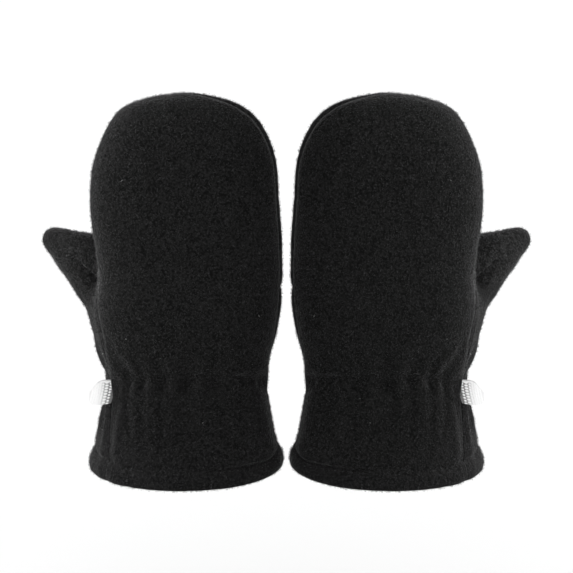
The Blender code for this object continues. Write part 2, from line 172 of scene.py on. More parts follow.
def walked(line):
    """How far along a line each of its points is."""
    return np.append(0, np.cumsum(np.linalg.norm(np.diff(line, axis=0), axis=1)))


def seam_step(step):
    """A step of the way round: up the thumb side, round the fingertips, down the outer side.

    It gives the panel's middle point there, the way out, how far and how high the widest line
    is, and the seam's roll from that line.
    """
    if TOP_ROW < step < TOP_ROW + DOME_STEPS:
        point = DOME[step - TOP_ROW - 1]
        out, up = point.out - DOME_MIDDLE, point.height - ROWS[-1]
        far = math.hypot(out, up)
        return (DOME_MIDDLE, ROWS[-1]), (out / far, up / far), far, ROWS[-1], point.roll
    row = step if step <= TOP_ROW else PATH_STEPS - step
    height = ROWS[row]
    sides = section_value(height, "thumb_side"), section_value(height, "outer_side")
    middle = DOME_MIDDLE if row == TOP_ROW else sum(sides) / 2
    if step <= TOP_ROW:
        way, far, roll = (1, 0), sides[0] - middle, section_value(height, "thumb_roll")
    else:
        way, far, roll = (-1, 0), middle - sides[1], section_value(height, "outer_roll")
    return (middle, height), way, far, height, roll


def drawn_up(height):
    """How far the cloth is drawn up in the middle of a panel, most at the elastic."""
    if height < ELASTIC_HEIGHT:
        rising = max(height - HEM_FOLD, 0.0) / (ELASTIC_HEIGHT - HEM_FOLD)
    else:
        rising = max(ELASTIC_RISE_END - height, 0.0) / (ELASTIC_RISE_END - ELASTIC_HEIGHT)
    return ELASTIC_RISE * math.sin(math.pi / 2 * rising) ** 2


def half_line(side, step):
    """A panel's line at a step, from its middle to the widest line: distance out, and depth."""
    _, way, wide, height, _ = seam_step(step)
    deep = section_value(height, "back_depth" if side < 0 else "palm_depth")
    line = quarter_arc(wide, deep, section_value(height, "squareness"))
    if side > 0:
        lean = (1 + way[0]) / 2
        bulge = lean * section_value(height, "thumb_bulge")
        bulge += (1 - lean) * section_value(height, "outer_bulge")
        share = walked(line) / walked(line)[-1]
        peak = BULGE_POWER / (BULGE_POWER + 1)
        line[:, 0] += bulge * share**BULGE_POWER * (1 - share) / (peak**BULGE_POWER * (1 - peak))
    line[:, 1] *= side
    return line


def panel_points(side):
    """The points of a whole back (side -1) or palm (side 1), by seam step and column."""
    points = np.zeros((PATH_STEPS + 1, COLUMNS + 1, 3))
    share = np.arange(COLUMNS + 1) / COLUMNS
    for step in range(PATH_STEPS + 1):
        middle, way, _, height, roll = seam_step(step)
        own, other = half_line(side, step), half_line(-side, step)
        line = np.vstack([own, other[-2::-1]])
        power = section_value(height, "edge_power") if side > 0 and roll > 0 else 1
        stops = share * walked(own)[-1] + side * roll * share**power
        across = np.interp(stops, walked(line), line[:, 0])
        points[step, :, 0] = middle[0] + way[0] * across
        points[step, :, 1] = np.interp(stops, walked(line), line[:, 1])
        points[step, :, 2] = middle[1] + way[1] * across + drawn_up(height) * (1 - share**2)
    return points


class Cage:
    """A cut piece before its mesh is smoothed: its points, each point's place, and its faces.

    A place is the share of the way out from the middle to the seam, 1 on the thumb side and
    -1 on the outer side, then the height before the elastic draws it up, then how far out on
    the thumb it is, from 0 to 1.
    """

    def __init__(self):
        self.points, self.places, self.faces = [], [], []

    def add(self, point, place):
        self.points.append(np.array(point, float))
        self.places.append(place)
        return len(self.points) - 1

    def add_panel(self, points):
        numbers = np.zeros((PATH_STEPS + 1, COLUMNS + 1), int)
        for step in range(PATH_STEPS + 1):
            _, way, _, height, _ = seam_step(step)
            for column in range(COLUMNS + 1):
                if column == 0 and step > TOP_ROW:
                    numbers[step, 0] = numbers[min(PATH_STEPS - step, TOP_ROW), 0]
                    continue
                place = (way[0] * column / COLUMNS, height, 0.0)
                numbers[step, column] = self.add(points[step, column], place)
        return numbers

    def add_face(self, *corners):
        self.faces.append(list(dict.fromkeys(int(corner) for corner in corners)))

    def cut(self, faces):
        """The piece that only these faces make, as a cage of its own."""
        piece = Cage()
        used = sorted({corner for face in faces for corner in face})
        number = {old: new for new, old in enumerate(used)}
        piece.points = [self.points[old] for old in used]
        piece.places = [self.places[old] for old in used]
        piece.faces = [[number[corner] for corner in face] for face in faces]
        return piece


def stood(name, data):
    """A new object, put in the scene."""
    thing = bpy.data.objects.new(name, data)
    bpy.context.scene.collection.objects.link(thing)
    return thing


def subdivided(points, faces, levels, kind="CATMULL_CLARK"):
    """A cage cut finer: points and four-cornered faces. The cage's own points come first."""
    mesh = bpy.data.meshes.new("cage")
    mesh.from_pydata([tuple(point) for point in points], [], faces)
    cage = stood("cage", mesh)
    finer = cage.modifiers.new("finer", "SUBSURF")
    finer.subdivision_type = kind
    finer.levels = levels
    finer.quality = 5
    finer.boundary_smooth = "PRESERVE_CORNERS"
    made = cage.evaluated_get(bpy.context.evaluated_depsgraph_get()).to_mesh()
    spots = np.zeros(len(made.vertices) * 3)
    made.vertices.foreach_get("co", spots)
    corners = np.zeros(len(made.loops), int)
    made.loops.foreach_get("vertex_index", corners)
    bpy.data.objects.remove(cage)
    bpy.data.meshes.remove(mesh)
    return spots.reshape(-1, 3), corners.reshape(-1, 4)


POLE_FACES = 14
POLE_REACH = 5.0
FITTINGS = 4


def smoothed(cage, levels):
    """The smooth surface through a cage's points, with the place of each of its own points.

    Near a point where many faces meet it only passes close to them, so that it stays even.
    """
    wanted = np.array(cage.points)
    meeting = np.bincount(np.concatenate(cage.faces), minlength=len(wanted))
    held = np.ones(len(wanted))
    for pole in wanted[meeting >= POLE_FACES]:
        from_pole = np.linalg.norm(wanted - pole, axis=1)
        held *= np.clip(from_pole / POLE_REACH - 1, 0, 1)
    control = wanted.copy()
    for _ in range(FITTINGS):
        reached, _ = subdivided(control, cage.faces, 1)
        control += (wanted - reached[: len(wanted)]) * held[:, None]
    points, faces = subdivided(control, cage.faces, levels)
    places, _ = subdivided(cage.places, cage.faces, levels, "SIMPLE")
    return points, faces, places


def unit(vectors):
    return vectors / np.maximum(np.linalg.norm(vectors, axis=-1, keepdims=True), 1e-12)


def normals_of(points, faces):
    first = points[faces[:, 2]] - points[faces[:, 0]]
    second = points[faces[:, 3]] - points[faces[:, 1]]
    across = np.cross(first, second)
    normals = np.zeros_like(points)
    for corner in range(4):
        np.add.at(normals, faces[:, corner], across)
    return unit(normals)


def open_edges(faces):
    """The piece's cut edges, each as its first and second point, in the faces' direction."""
    first = faces.ravel()
    second = np.roll(faces, -1, axis=1).ravel()
    total = int(faces.max()) + 1
    lone = ~np.isin(first * total + second, second * total + first)
    return first[lone], second[lone]


def search_tree(spots):
    """A tree that finds the nearest of some spots."""
    tree = kdtree.KDTree(len(spots))
    for number, spot in enumerate(spots):
        tree.insert(spot, number)
    tree.balance()
    return tree


def distance_to_seam(points, faces, places):
    """How far each point is from the piece's sewn edge, leaving out the hem's fold."""
    first, second = open_edges(faces)
    sewn = (places[first, 1] > 0.01) | (places[second, 1] > 0.01)
    start, end = points[first[sewn]], points[second[sewn]]
    tree = search_tree(np.vstack([start, (start + end) / 2]))
    return np.array([tree.find(point)[2] for point in points])


def bump(distance, width):
    return np.exp(-((distance / width) ** 2))


def noise_at(points, size, seed):
    """Smooth noise from -1 to 1 at each point, with waves about size millimetres long."""
    shift = Vector((seed * 17.3, seed * 7.9, seed * 3.1))
    return np.array([noise.noise(Vector(point / size) + shift) for point in points])


HEM_THICKNESS = 3.7
HEM_EDGE = 1.1
HEM_ROLL = 0.95
HEM_ROLL_POWER = 0.8
HEM_STITCH_DEPTH = 1.05
HEM_STITCH_WIDTH = 1.05
HEM_FOLD_OPEN = 0.92
FLEECE = 2.0
SEAM_ROUND = 2.1
SEAM_DEPTH = 1.05
SEAM_SWELL = 0.25
SEAM_PULL = 3.0
SEAM_FLATTENS = 0.6
SHARPEST = 0.5
CROSS_SEAM_END = 70.0
CROSS_SEAM_WIDE = 0.12
CROSS_SEAM_HIGH = 5.0
CROSS_SEAM_EASE = 0.7
THUMB_ROUNDER = 0.6
THUMB_SHALLOWER = 0.5
THUMB_ROOT = 0.25
WRIST_ARC = 36.0
UPPER_STITCH_DEPTH = 0.6
LOWER_STITCH_DEPTH = 1.15
ELASTIC_STITCH_WIDTH = 1.35
LEAST_PINCH = 0.3
BAND_HOLLOW = 1.1
PIT_DEPTH = 1.5
PIT_WIDTH = 2.7
PIT_DROP = 0.6
PUFF_SCALE = 1.35
PUFF_HIGHEST = 1.3
PUFF_ROUND = 1.35
RIPPLE_SHARE = 0.38
RIPPLE_FADE = 5.5

# How far the sewn edge on the thumb side rolls over, against SEAM_DEPTH elsewhere.
EdgeSpot = namedtuple("EdgeSpot", "height share")
# How high the hem's stitches run, from the outer side to the thumb side, and how deep.
HemSpot = namedtuple("HemSpot", "share height depth")
# Where the elastic's upper and lower stitch rows run.
RowSpot = namedtuple("RowSpot", "share upper lower")
# A crease between two gathers: where it crosses the two rows, how far the next gather towards
# the outer side puffs out, and how deep the stitches pinch the crease at the upper row.
Crease = namedtuple("Crease", "upper lower puff pit")
# A soft trough from one place to another. A negative depth makes it a ridge.
Fold = namedtuple("Fold", "share height end_share end_height width depth")
# A fine crease, placed as it is seen from the back of the hand.
Mark = namedtuple("Mark", "out height end_out end_height width depth")
Gathers = namedtuple("Gathers", "edge hem rows creases folds marks")

BACK_EDGE = table(
    EdgeSpot,
    (0, 0.12), (22, 0.12), (27.5, 0.4), (31, 0.46), (35.5, 0.2), (40, 0.4), (46, 0.7), (54, 0.4),
    (76, 0.4), (92, 1),
)
BACK_HEM = table(
    HemSpot,
    (-1, 7.5, 0.5), (-0.75, 6.4, 1.1), (-0.58, 6, 1.6), (-0.46, 6.8, 1.9), (-0.23, 7.5, 2),
    (-0.03, 8.4, 1), (0.32, 8.5, 0.4), (0.72, 6.9, 0.4), (0.95, 7.6, 0.7), (1, 7.6, 0.7),
)
BACK_ROWS = table(
    RowSpot,
    (-1, 34.6, 27.6), (-0.73, 34.8, 28.9), (-0.49, 34.4, 29.4), (-0.38, 35.6, 28.2),
    (-0.27, 33, 29.2), (-0.15, 36.2, 27.6), (-0.03, 33.4, 28.8), (0.12, 36.4, 27.5),
    (0.26, 34, 29), (0.39, 36.6, 28.2), (0.51, 34.6, 29), (0.6, 36, 28.2), (0.7, 34.8, 28.6),
    (0.87, 35.4, 27.6), (1, 35.2, 27.2),
)
BACK_CREASES = table(
    Crease,
    (1, 1, 0.3, 0), (0.87, 0.88, 0.45, 0.2), (0.7, 0.72, 0.75, 0.4), (0.51, 0.52, 1.1, 0.9),
    (0.26, 0.26, 1.35, 1), (-0.03, -0.02, 1.3, 1), (-0.27, -0.28, 1.35, 1.1),
    (-0.49, -0.5, 0.5, 0.8), (-0.73, -0.72, 0.55, 0.3), (-1, -1, 0, 0),
)
BACK_FOLDS = table(
    Fold,
    (0.72, 48, 0.54, 36.5, 2.2, -0.35), (0.84, 50, 0.67, 38, 3, 0.5),
    (-0.55, 33.6, -0.8, 32.8, 3.4, 1.3), (-0.3, 39.8, -0.66, 38.8, 2.8, -0.12),
    (0.2, 39.8, -0.2, 39.8, 2.4, -0.3), (-0.71, 29.6, -0.86, 29.4, 1.8, 0.4),
    (0.78, 27, 0.86, 13, 2.4, -0.3), (0.91, 24.5, 0.99, 11, 3, 0.5), (1, 37, 1, 32, 1.3, -0.45),
    (0.99, 50, 0.99, 80, 0.8, -0.6), (0.95, 52, 0.95, 80, 1.2, 0.35),
    (0.72, 27.5, 0.65, 19, 1.8, 0.4), (0.51, 27, 0.49, 18, 1.9, 0.45),
    (0.26, 27, 0.23, 18, 2.3, 0.5), (-0.02, 27, -0.05, 17, 2.4, 0.5),
    (-0.28, 27.5, -0.3, 18, 2.4, 0.5), (-0.49, 28, -0.52, 16, 2.8, 0.6),
    (0.51, 37, 0.5, 43, 1.8, 0.4), (0.26, 37, 0.24, 44.5, 2.1, 0.45),
    (-0.03, 36.5, -0.05, 43, 2.4, 0.45), (-0.27, 36, -0.3, 43, 2.4, 0.45),
)
BACK_MARKS = table(
    Mark,
    (43.4, 120.6, 37.4, 122.6, 0.7, 0.3), (37.4, 122.6, 31.2, 121.9, 0.7, 0.3),
    (25, 9.5, 17, 13, 0.8, 0.3),
)
back_gathers = Gathers(BACK_EDGE, BACK_HEM, BACK_ROWS, BACK_CREASES, BACK_FOLDS, BACK_MARKS)


def line_distance(here, start, end):
    """How far each of some flat places lies from the line between two of them."""
    start, run = np.array(start), np.array(end) - start
    t = np.clip((here - start) @ run / (run @ run), 0.0, 1.0)
    return np.linalg.norm(here - start - t[:, None] * run, axis=1)


def row_values(share, spots, name):
    return np.interp(share, [spot.share for spot in spots], [getattr(spot, name) for spot in spots])


def relief(places, to_seam, gathers):
    """How far the cloth stands out of the plain form: hem, gathers, folds and seam edges."""
    share, height, thumb = places.T
    at_seam = bump(to_seam, SEAM_PULL)
    hem_line = row_values(share, gathers.hem, "height")
    rise = HEM_ROLL * np.sin(math.pi * np.minimum(height / hem_line, 1.0) ** HEM_ROLL_POWER)
    hem_depth = HEM_STITCH_DEPTH * row_values(share, gathers.hem, "depth")
    rise -= hem_depth * bump(height - hem_line, HEM_STITCH_WIDTH)

    upper = row_values(share, gathers.rows, "upper")
    lower = row_values(share, gathers.rows, "lower")
    half = (upper - lower) / 2
    off_band = np.abs(height - (upper + lower) / 2) / half
    in_band = RIPPLE_SHARE + (1 - RIPPLE_SHARE) * np.cos(math.pi / 2 * np.minimum(off_band, 1)) ** 2
    faded = RIPPLE_SHARE * bump((off_band - 1) * half, RIPPLE_FADE)
    spread = np.where(off_band < 1, in_band, faded) * (1 - SEAM_FLATTENS * at_seam)
    down = np.clip((upper - height) / (2 * half), -0.5, 1.5)
    crest = np.zeros_like(share)
    for crease, following in zip(gathers.creases, gathers.creases[1:]):
        start = crease.upper + (crease.lower - crease.upper) * down
        end = following.upper + (following.lower - following.upper) * down
        across = np.clip((start - share) / (start - end), 0, 1)
        crest += crease.puff * (4 * across * (1 - across)) ** PUFF_ROUND
    rise += spread * (PUFF_SCALE * crest - BAND_HOLLOW)
    pinched = (LEAST_PINCH + (1 - LEAST_PINCH) * crest / PUFF_HIGHEST) * (1 - at_seam)
    rise -= UPPER_STITCH_DEPTH * pinched * bump(height - upper, ELASTIC_STITCH_WIDTH)
    rise -= LOWER_STITCH_DEPTH * pinched * bump(height - lower, ELASTIC_STITCH_WIDTH)
    for crease in gathers.creases:
        away = np.hypot((share - crease.upper) * WRIST_ARC, height - upper + PIT_DROP)
        rise -= PIT_DEPTH * crease.pit * bump(away, PIT_WIDTH)

    here = np.stack([share * WRIST_ARC, height], axis=1)
    for fold in gathers.folds:
        start = fold.share * WRIST_ARC, fold.height
        end = fold.end_share * WRIST_ARC, fold.end_height
        rise -= fold.depth * bump(line_distance(here, start, end), fold.width)
    rise *= 1 - thumb
    on_thumb = np.minimum(thumb / THUMB_ROOT, 1.0)
    near = np.maximum(1 - to_seam / (SEAM_ROUND * (1 + THUMB_ROUNDER * on_thumb)), 0.0)
    rise += SEAM_SWELL * bump(to_seam - 2 * SEAM_ROUND, SEAM_ROUND)
    meeting = bump(share + 1, CROSS_SEAM_WIDE) * bump(height - CROSS_SEAM_END, CROSS_SEAM_HIGH)
    heights, shares = zip(*gathers.edge)
    round_thumb = (1 - THUMB_SHALLOWER * on_thumb) * (1 - thumb**4)
    thumb_side = (share > 0) & (thumb == 0)
    rolled = np.where(thumb_side, np.interp(height, heights, shares), round_thumb)
    sharp = SHARPEST * np.clip(rolled, 0.0, 1.0) ** 2 * (1 - on_thumb)
    roll = (1 - sharp) * near**2 + sharp * (1 - np.sqrt(1 - near**2))
    rise -= SEAM_DEPTH * (1 - CROSS_SEAM_EASE * meeting) * rolled * roll
    return rise


def hem_inset(height):
    """How far the hem's fold rounds in from the outside, at a height above its lower edge."""
    radius = HEM_THICKNESS / 2
    low = np.maximum(1 - height / radius, 0.0)
    return HEM_FOLD_OPEN * radius * (1 - np.sqrt(1 - low**2))


def wall_thickness(height):
    """The cloth's thickness, which the turned-up hem doubles."""
    return np.interp(height, [HEM_FOLD, HEM_FOLD + HEM_EDGE], [HEM_THICKNESS, FLEECE])


OUTER_LEVELS = 3
INNER_LEVELS = 2
NAP_GRAIN = ((1.5, 0.10), (3.2, 0.11), (9.0, 0.16), (24.0, 0.22))
GRAIN_AT_SEAM = 0.35
THUMB_CRINKLE = 1.2
INNER_GRAIN = (3.0, 0.12)
INNER_SEED = 9
INNER_RELIEF = 0.8
INNER_CLEAR = 1.2
SEAM_ALLOWANCE = 0.7

# One face of a cut piece: its points, its faces, each point's place, and its points before
# anything was raised or sunk.
Face = namedtuple("Face", "points faces places plain")
# A whole cut piece: all its points and faces, and its outer and inner face.
Cloth = namedtuple("Cloth", "points faces outer inner")


def laid_out(cage, levels):
    """The plain face of a piece, with its normals and how far each point is from a seam."""
    points, faces, places = smoothed(cage, levels)
    normals = normals_of(points, faces)
    # At the hem's lower edge they look straight out.
    normals[:, 2] *= 1 - np.clip(1 - places[:, 1] / HEM_FOLD, 0, 1)
    return points, faces, places, unit(normals), distance_to_seam(points, faces, places)


def outside(cage, gathers):
    """The piece's outer face, with the lumps of the brushed surface."""
    points, faces, places, normals, to_seam = laid_out(cage, OUTER_LEVELS)
    rise = relief(places, to_seam, gathers) - hem_inset(places[:, 1])
    for mark in gathers.marks:
        start, end = (mark.out, mark.height), (mark.end_out, mark.end_height)
        away = line_distance(points[:, [0, 2]], start, end)
        rise -= mark.depth * bump(away, mark.width) * np.clip(-2 * normals[:, 1], 0, 1)
    grain = GRAIN_AT_SEAM + (1 - GRAIN_AT_SEAM) * np.minimum(to_seam / SEAM_ROUND, 1.0)
    grain *= 1 + THUMB_CRINKLE * np.minimum(places[:, 2] / THUMB_ROOT, 1.0)
    for seed, (size, depth) in enumerate(NAP_GRAIN):
        rise += depth * noise_at(points, size, seed) * grain
    return Face(points + rise[:, None] * normals, faces, places, points)


def inside(cage, gathers):
    """The piece's inner face, coarser, as thick behind the outer one as the cloth is."""
    points, faces, places, normals, to_seam = laid_out(cage, INNER_LEVELS)
    height = places[:, 1]
    rise = INNER_RELIEF * relief(places, np.maximum(to_seam, INNER_CLEAR), gathers)
    depth = wall_thickness(height) - hem_inset(height)
    depth += SEAM_ALLOWANCE * bump(to_seam, SEAM_PULL)
    size, lump = INNER_GRAIN
    rise += lump * noise_at(points, size, INNER_SEED)
    return Face(points + (rise - depth)[:, None] * normals, faces, places, points)


def walled(cage, gathers):
    """A cut piece as a closed thin wall: outer face, inner face, and the cut edge between."""
    outer, inner = outside(cage, gathers), inside(cage, gathers)
    first, second = open_edges(outer.faces)
    following = dict(zip(first.tolist(), second.tolist()))
    tree = search_tree(outer.plain[first])
    count = len(outer.points)
    edge_faces = []
    for start, end in zip(*[side.tolist() for side in open_edges(inner.faces)]):
        here = int(first[tree.find(inner.plain[start])[1]])
        between = following[here]
        edge_faces.append([following[between], between, here, start + count, end + count])
    faces = outer.faces.tolist() + (inner.faces[:, ::-1] + count).tolist() + edge_faces
    return Cloth(np.vstack([outer.points, inner.points]), faces, outer, inner)


def new_pair(name, points, faces, finish, slot, reads="", values=()):
    """A piece for each hand, from millimetres in the tables' frame to metres in the part's.

    Where the finish reads a value at each point, it is given by its name and its values.
    """
    pair = []
    for hand, mirror in HANDS:
        mesh = bpy.data.meshes.new(f"{hand}_{name}")
        spots = (points - [0, 0, ELASTIC_HEIGHT]) * [mirror * MM, MM, MM]
        mesh.from_pydata(spots.tolist(), [], [face[::mirror] for face in faces])
        mesh.materials.append(finish)
        mesh.shade_smooth()
        if reads:
            given = mesh.attributes.new(reads, "FLOAT", "POINT")
            given.data.foreach_set("value", np.array(values, np.float32))
        piece = stood(mesh.name, mesh)
        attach(piece, "root")
        pair.append((hand, piece))
    return pair


class Finish:
    """A material, which is made by adding nodes and setting them."""

    def __init__(self, name):
        self.material = bpy.data.materials.new(name)
        self.material.use_nodes = True
        self.tree = self.material.node_tree
        self.shader = self.tree.nodes["Principled BSDF"]

    def settle(self, node, links=(), **values):
        """Sets a node's options and inputs, and joins other nodes' outputs to its inputs."""
        for key, value in values.items():
            if hasattr(node, key):
                setattr(node, key, value)
            else:
                node.inputs[key.replace("_", " ")].default_value = value
        for socket, source in links:
            self.tree.links.new(source, node.inputs[socket])
        return node

    def add(self, kind, links=(), **values):
        return self.settle(self.tree.nodes.new(f"ShaderNode{kind}"), links, **values)

    def spot(self):
        """The place on the piece, in metres."""
        return self.add("TexCoord").outputs["Object"]

    def level(self, name):
        """The value given at the points."""
        return self.add("Attribute", attribute_name=name).outputs["Fac"]

    def grain(self, per_metre, detail):
        return self.add("TexNoise", [("Vector", self.spot())], Scale=per_metre, Detail=detail)

    def mixed(self, first, second, share):
        mix = self.add("Mix", [("A", first), ("B", second)], Factor=share)
        return mix.outputs["Result"]

    def shades(self, source, *stops):
        """A ramp from one shade to another, with any shades between them given last."""
        ramp = self.add("ValToRGB", [("Fac", source)])
        elements = ramp.color_ramp.elements
        for number, (place, colour) in enumerate(stops):
            element = elements[number] if number < 2 else elements.new(place)
            element.position, element.color = place, (*colour, 1.0)
        return ramp.outputs["Color"]

    def bumped(self, height, strength, distance, **values):
        bump = self.add(
            "Bump", [("Height", height)], Strength=strength, Distance=distance, **values
        )
        self.settle(self.shader, [("Normal", bump.outputs["Normal"])])


FLEECE_DARK = (0.0010, 0.0010, 0.0010)
FLEECE_LIGHT = (0.0046, 0.0046, 0.0046)
TUFTS_PER_METRE = 1150.0
TUFTS_WANDER = (0.0016, 0.0016, 0.0016)
PILE_DEPTH = 0.0007
PAINTED_LIGHT_GAIN = 4.0

# Painted highlight and shade: spots where the fleece's colour is made lighter, on the thumb, the
# thumb side's edge, the top, the outer edge and the cuff's outer side, or darker over the cuff
# towards the thumb.
PaintedLight = namedtuple("PaintedLight", "out height wide high paler")
PAINTED_LIGHT = table(
    PaintedLight,
    (71.2, 84, 1.3, 7, 0.8), (69.6, 74, 2, 6, 0.5), (68.6, 63, 2, 6, 0.12),
    (74.5, 77, 3.5, 4.5, 0.08), (82, 80, 9, 10, 0.24), (69, 122, 4, 12, 0.1),
    (38, 140, 26, 14, 0.05), (2.5, 95, 4, 40, 0.06), (9, 16, 12, 16, 0.05),
    (54, 24, 27, 13, -0.08),
)


def painted_light_at(points):
    """How much lighter the fleece is painted at each point, as painted highlight, or darker as
    painted shade.
    """
    paler = np.zeros(len(points))
    for rubbed in PAINTED_LIGHT:
        across = bump((points[:, 0] - rubbed.out) / rubbed.wide, 1.0)
        up = bump((points[:, 2] - rubbed.height) / rubbed.high, 1.0)
        paler += rubbed.paler * across * up
    return paler


def black_fleece():
    """Brushed knit: small round tufts with dark gaps, a nap lighter edge on, and painted highlight
    and shade.
    """
    finish = Finish("black_fleece")
    wander = finish.grain(520.0, 3.0)
    moved = finish.add(
        "VectorMath", [(0, wander.outputs["Color"]), (2, finish.spot())], operation="MULTIPLY_ADD"
    )
    moved.inputs[1].default_value = TUFTS_WANDER
    tufts = finish.add(
        "TexVoronoi",
        [("Vector", moved.outputs["Vector"])],
        feature="SMOOTH_F1",
        Scale=TUFTS_PER_METRE,
        Smoothness=0.5,
    )
    strands, drifts = finish.grain(2100.0, 3.0), finish.grain(240.0, 3.0)
    gaps = finish.mixed(tufts.outputs["Distance"], strands.outputs["Fac"], 0.35)
    depth = finish.mixed(gaps, drifts.outputs["Fac"], 0.22)
    knit = finish.shades(depth, (0.34, FLEECE_LIGHT), (0.60, FLEECE_DARK))
    # The painted highlight and shade scale the knit's colour up or down.
    gain = finish.add("Math", [(0, finish.level("rubbed"))], operation="MULTIPLY_ADD")
    gain.inputs[1].default_value = PAINTED_LIGHT_GAIN
    gain.inputs[2].default_value = 1.0
    knit_painted = finish.add(
        "VectorMath", [("Vector", knit), ("Scale", gain.outputs["Value"])], operation="SCALE"
    )
    finish.bumped(gaps, 0.6, PILE_DEPTH, invert=True)
    finish.settle(
        finish.shader,
        [("Base Color", knit_painted.outputs["Vector"])],
        Roughness=0.95,
        Specular_IOR_Level=0.03,
        Sheen_Weight=0.125,
        Sheen_Roughness=0.30,
        Sheen_Tint=(0.6, 0.6, 0.6, 1.0),
    )
    return finish.material


fleece = black_fleece()

back_cage = Cage()
back_numbers = back_cage.add_panel(panel_points(-1))
for step in range(PATH_STEPS):
    for column in range(COLUMNS):
        near, far, next_near, next_far = back_numbers[step : step + 2, column : column + 2].ravel()
        back_cage.add_face(near, far, next_far, next_near)
cloth = {"back": walled(back_cage, back_gathers)}


def dress(part):
    """Makes a cut piece for both mittens, in place of its solids."""
    points, faces = cloth[part][:2]
    # Each point carries how much highlight or shade is painted into the fleece's colour.
    rubbed = "rubbed", painted_light_at(points)
    for hand, piece in new_pair(f"{part}_fleece", points, faces, fleece, "black_fleece", *rubbed):
        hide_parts(f"{hand}_{part}")


dress("back")


# ---- The palm base and the palm top ----
# Two pieces of the same fleece meet across the palm and round the thumb. The base takes the
# palm side of the cuff, the heel of the hand and the wrist side of the thumb. The top takes
# the fingers and the other side of the thumb.

ThumbRing = namedtuple("ThumbRing", "out depth height half_height half_depth")
THUMB_RINGS = table(
    ThumbRing,
    (68, 15.4, 71.2, 15.9, 9.8),
    (73.5, 16.6, 74.8, 13.2, 9.3),
    (78.8, 18.5, 78, 10.6, 8.4),
    (83.7, 20.6, 80.7, 8.1, 7.3),
    (87.8, 22.6, 82.9, 6.1, 5.9),
    (90.9, 24.2, 84.5, 4.4, 4.5),
    (93.1, 25.3, 85.5, 2.6, 2.8),
)
THUMB_TIP = (94.2, 25.9, 86.0)
THUMB_NEAR = 5
THUMB_COLUMNS = 6
HALF_WIDTH = 32.0
ROOT_EASINGS = 3

PALM_EDGE = table(
    EdgeSpot,
    (0, 0.12), (26, 0.12), (38, 0.6), (50, 1.2), (76, 1.3), (92, 1),
)
PALM_HEM = table(
    HemSpot,
    (-1, 7.5, 0.8), (-0.6, 7.6, 0.8), (-0.2, 8.4, 0.6), (0.2, 8.6, 0.9), (0.6, 8, 0.7),
    (0.85, 6.4, 1.2), (1, 7.6, 0.7),
)
PALM_ROWS = table(
    RowSpot,
    (-1, 34.6, 27.6), (-0.7, 34.2, 28.4), (-0.46, 33.8, 29), (-0.33, 36.2, 27.8),
    (-0.19, 34, 28.6), (0.05, 33.8, 28.8), (0.17, 36.4, 27.6), (0.35, 34.4, 28.8),
    (0.7, 34.8, 28), (1, 34.6, 27.6),
)
PALM_CREASES = table(
    Crease,
    (1, 1, 0.4, 0), (0.84, 0.86, 0.8, 0.4), (0.66, 0.64, 1, 0.8), (0.5, 0.53, 0.9, 0.7),
    (0.29, 0.3, 1.3, 1), (0.05, 0.06, 1.1, 0.9), (-0.19, -0.2, 1.25, 1), (-0.46, -0.44, 1, 0.9),
    (-0.66, -0.68, 0.8, 0.6), (-0.86, -0.84, 0.4, 0.3), (-1, -1, 0, 0),
)
PALM_FOLDS = table(
    Fold,
    (0.7, 41, 0.2, 50, 3.4, 0.9), (-0.3, 41, -0.7, 53, 3, 0.7),
    (-0.74, 83.5, -0.2, 80, 3.6, 0.8), (1, 20, 0.99, 11, 1.6, 0.4),
    (0.955, 27, 0.945, 14, 1.4, -0.6), (0.915, 26, 0.9, 14, 0.9, 0.4),
    (0.1, 12, 0.04, 26, 3, 0.9), (-0.62, 13, -0.56, 25, 2.8, 0.8),
    (0.52, 36.5, 0.46, 44, 2, -0.6), (0.05, 36, 0.02, 43, 2.2, 0.5),
    (-0.44, 36.5, -0.4, 43, 2.2, 0.5), (0.3, 26.5, 0.34, 18, 2.3, 0.6),
    (-0.2, 26.5, -0.24, 19, 2.3, 0.6), (0.78, 26.5, 0.84, 15, 2.4, 0.7),
    (0.3, 58, -0.1, 62, 2.6, 0.5), (0.36, 96, 0, 92, 3, 0.4),
)
THUMB_MARKS = table(
    Mark,
    (75.4, 80.6, 72.2, 82.2, 0.8, 0.4), (74.8, 78.6, 71.6, 80.2, 0.7, 0.5),
    (74.6, 76.6, 71.4, 78.2, 0.8, 0.5), (73.6, 73.6, 71, 75.6, 0.8, 0.5),
    (73, 70.6, 70.6, 73.4, 0.9, 0.5), (76.4, 72, 74, 70, 0.8, 0.35),
    (77.4, 79.6, 80.2, 82.6, 0.9, 0.3), (81, 84.6, 86, 86.2, 0.9, -0.3),
    (80.6, 81, 84.4, 80.2, 1, 0.3), (76, 69, 78.6, 74, 0.9, -0.3),
    (73, 63.5, 71.4, 66.5, 0.8, 0.4), (85, 84, 79, 78.4, 1.2, 0.3),
    (79, 78.4, 72.8, 72.4, 1.2, 0.45),
)
palm_gathers = Gathers(PALM_EDGE, PALM_HEM, PALM_ROWS, PALM_CREASES, PALM_FOLDS, THUMB_MARKS)

thumb_at = [stretch.name for stretch in STRETCHES].index("thumb")
THUMB_LOW = sum(stretch.steps for stretch in STRETCHES[:thumb_at])
THUMB_HIGH = THUMB_LOW + STRETCHES[thumb_at].steps
CROSS_SEAM_ROW = (THUMB_LOW + THUMB_HIGH) // 2


def between(points, step, column):
    """The point at a place between four mesh points."""
    low, near = int(step), int(column)
    up, across = step - low, column - near
    lower = points[low, near] * (1 - across) + points[low, near + 1] * across
    upper = points[low + 1, near] * (1 - across) + points[low + 1, near + 1] * across
    return lower * (1 - up) + upper * up


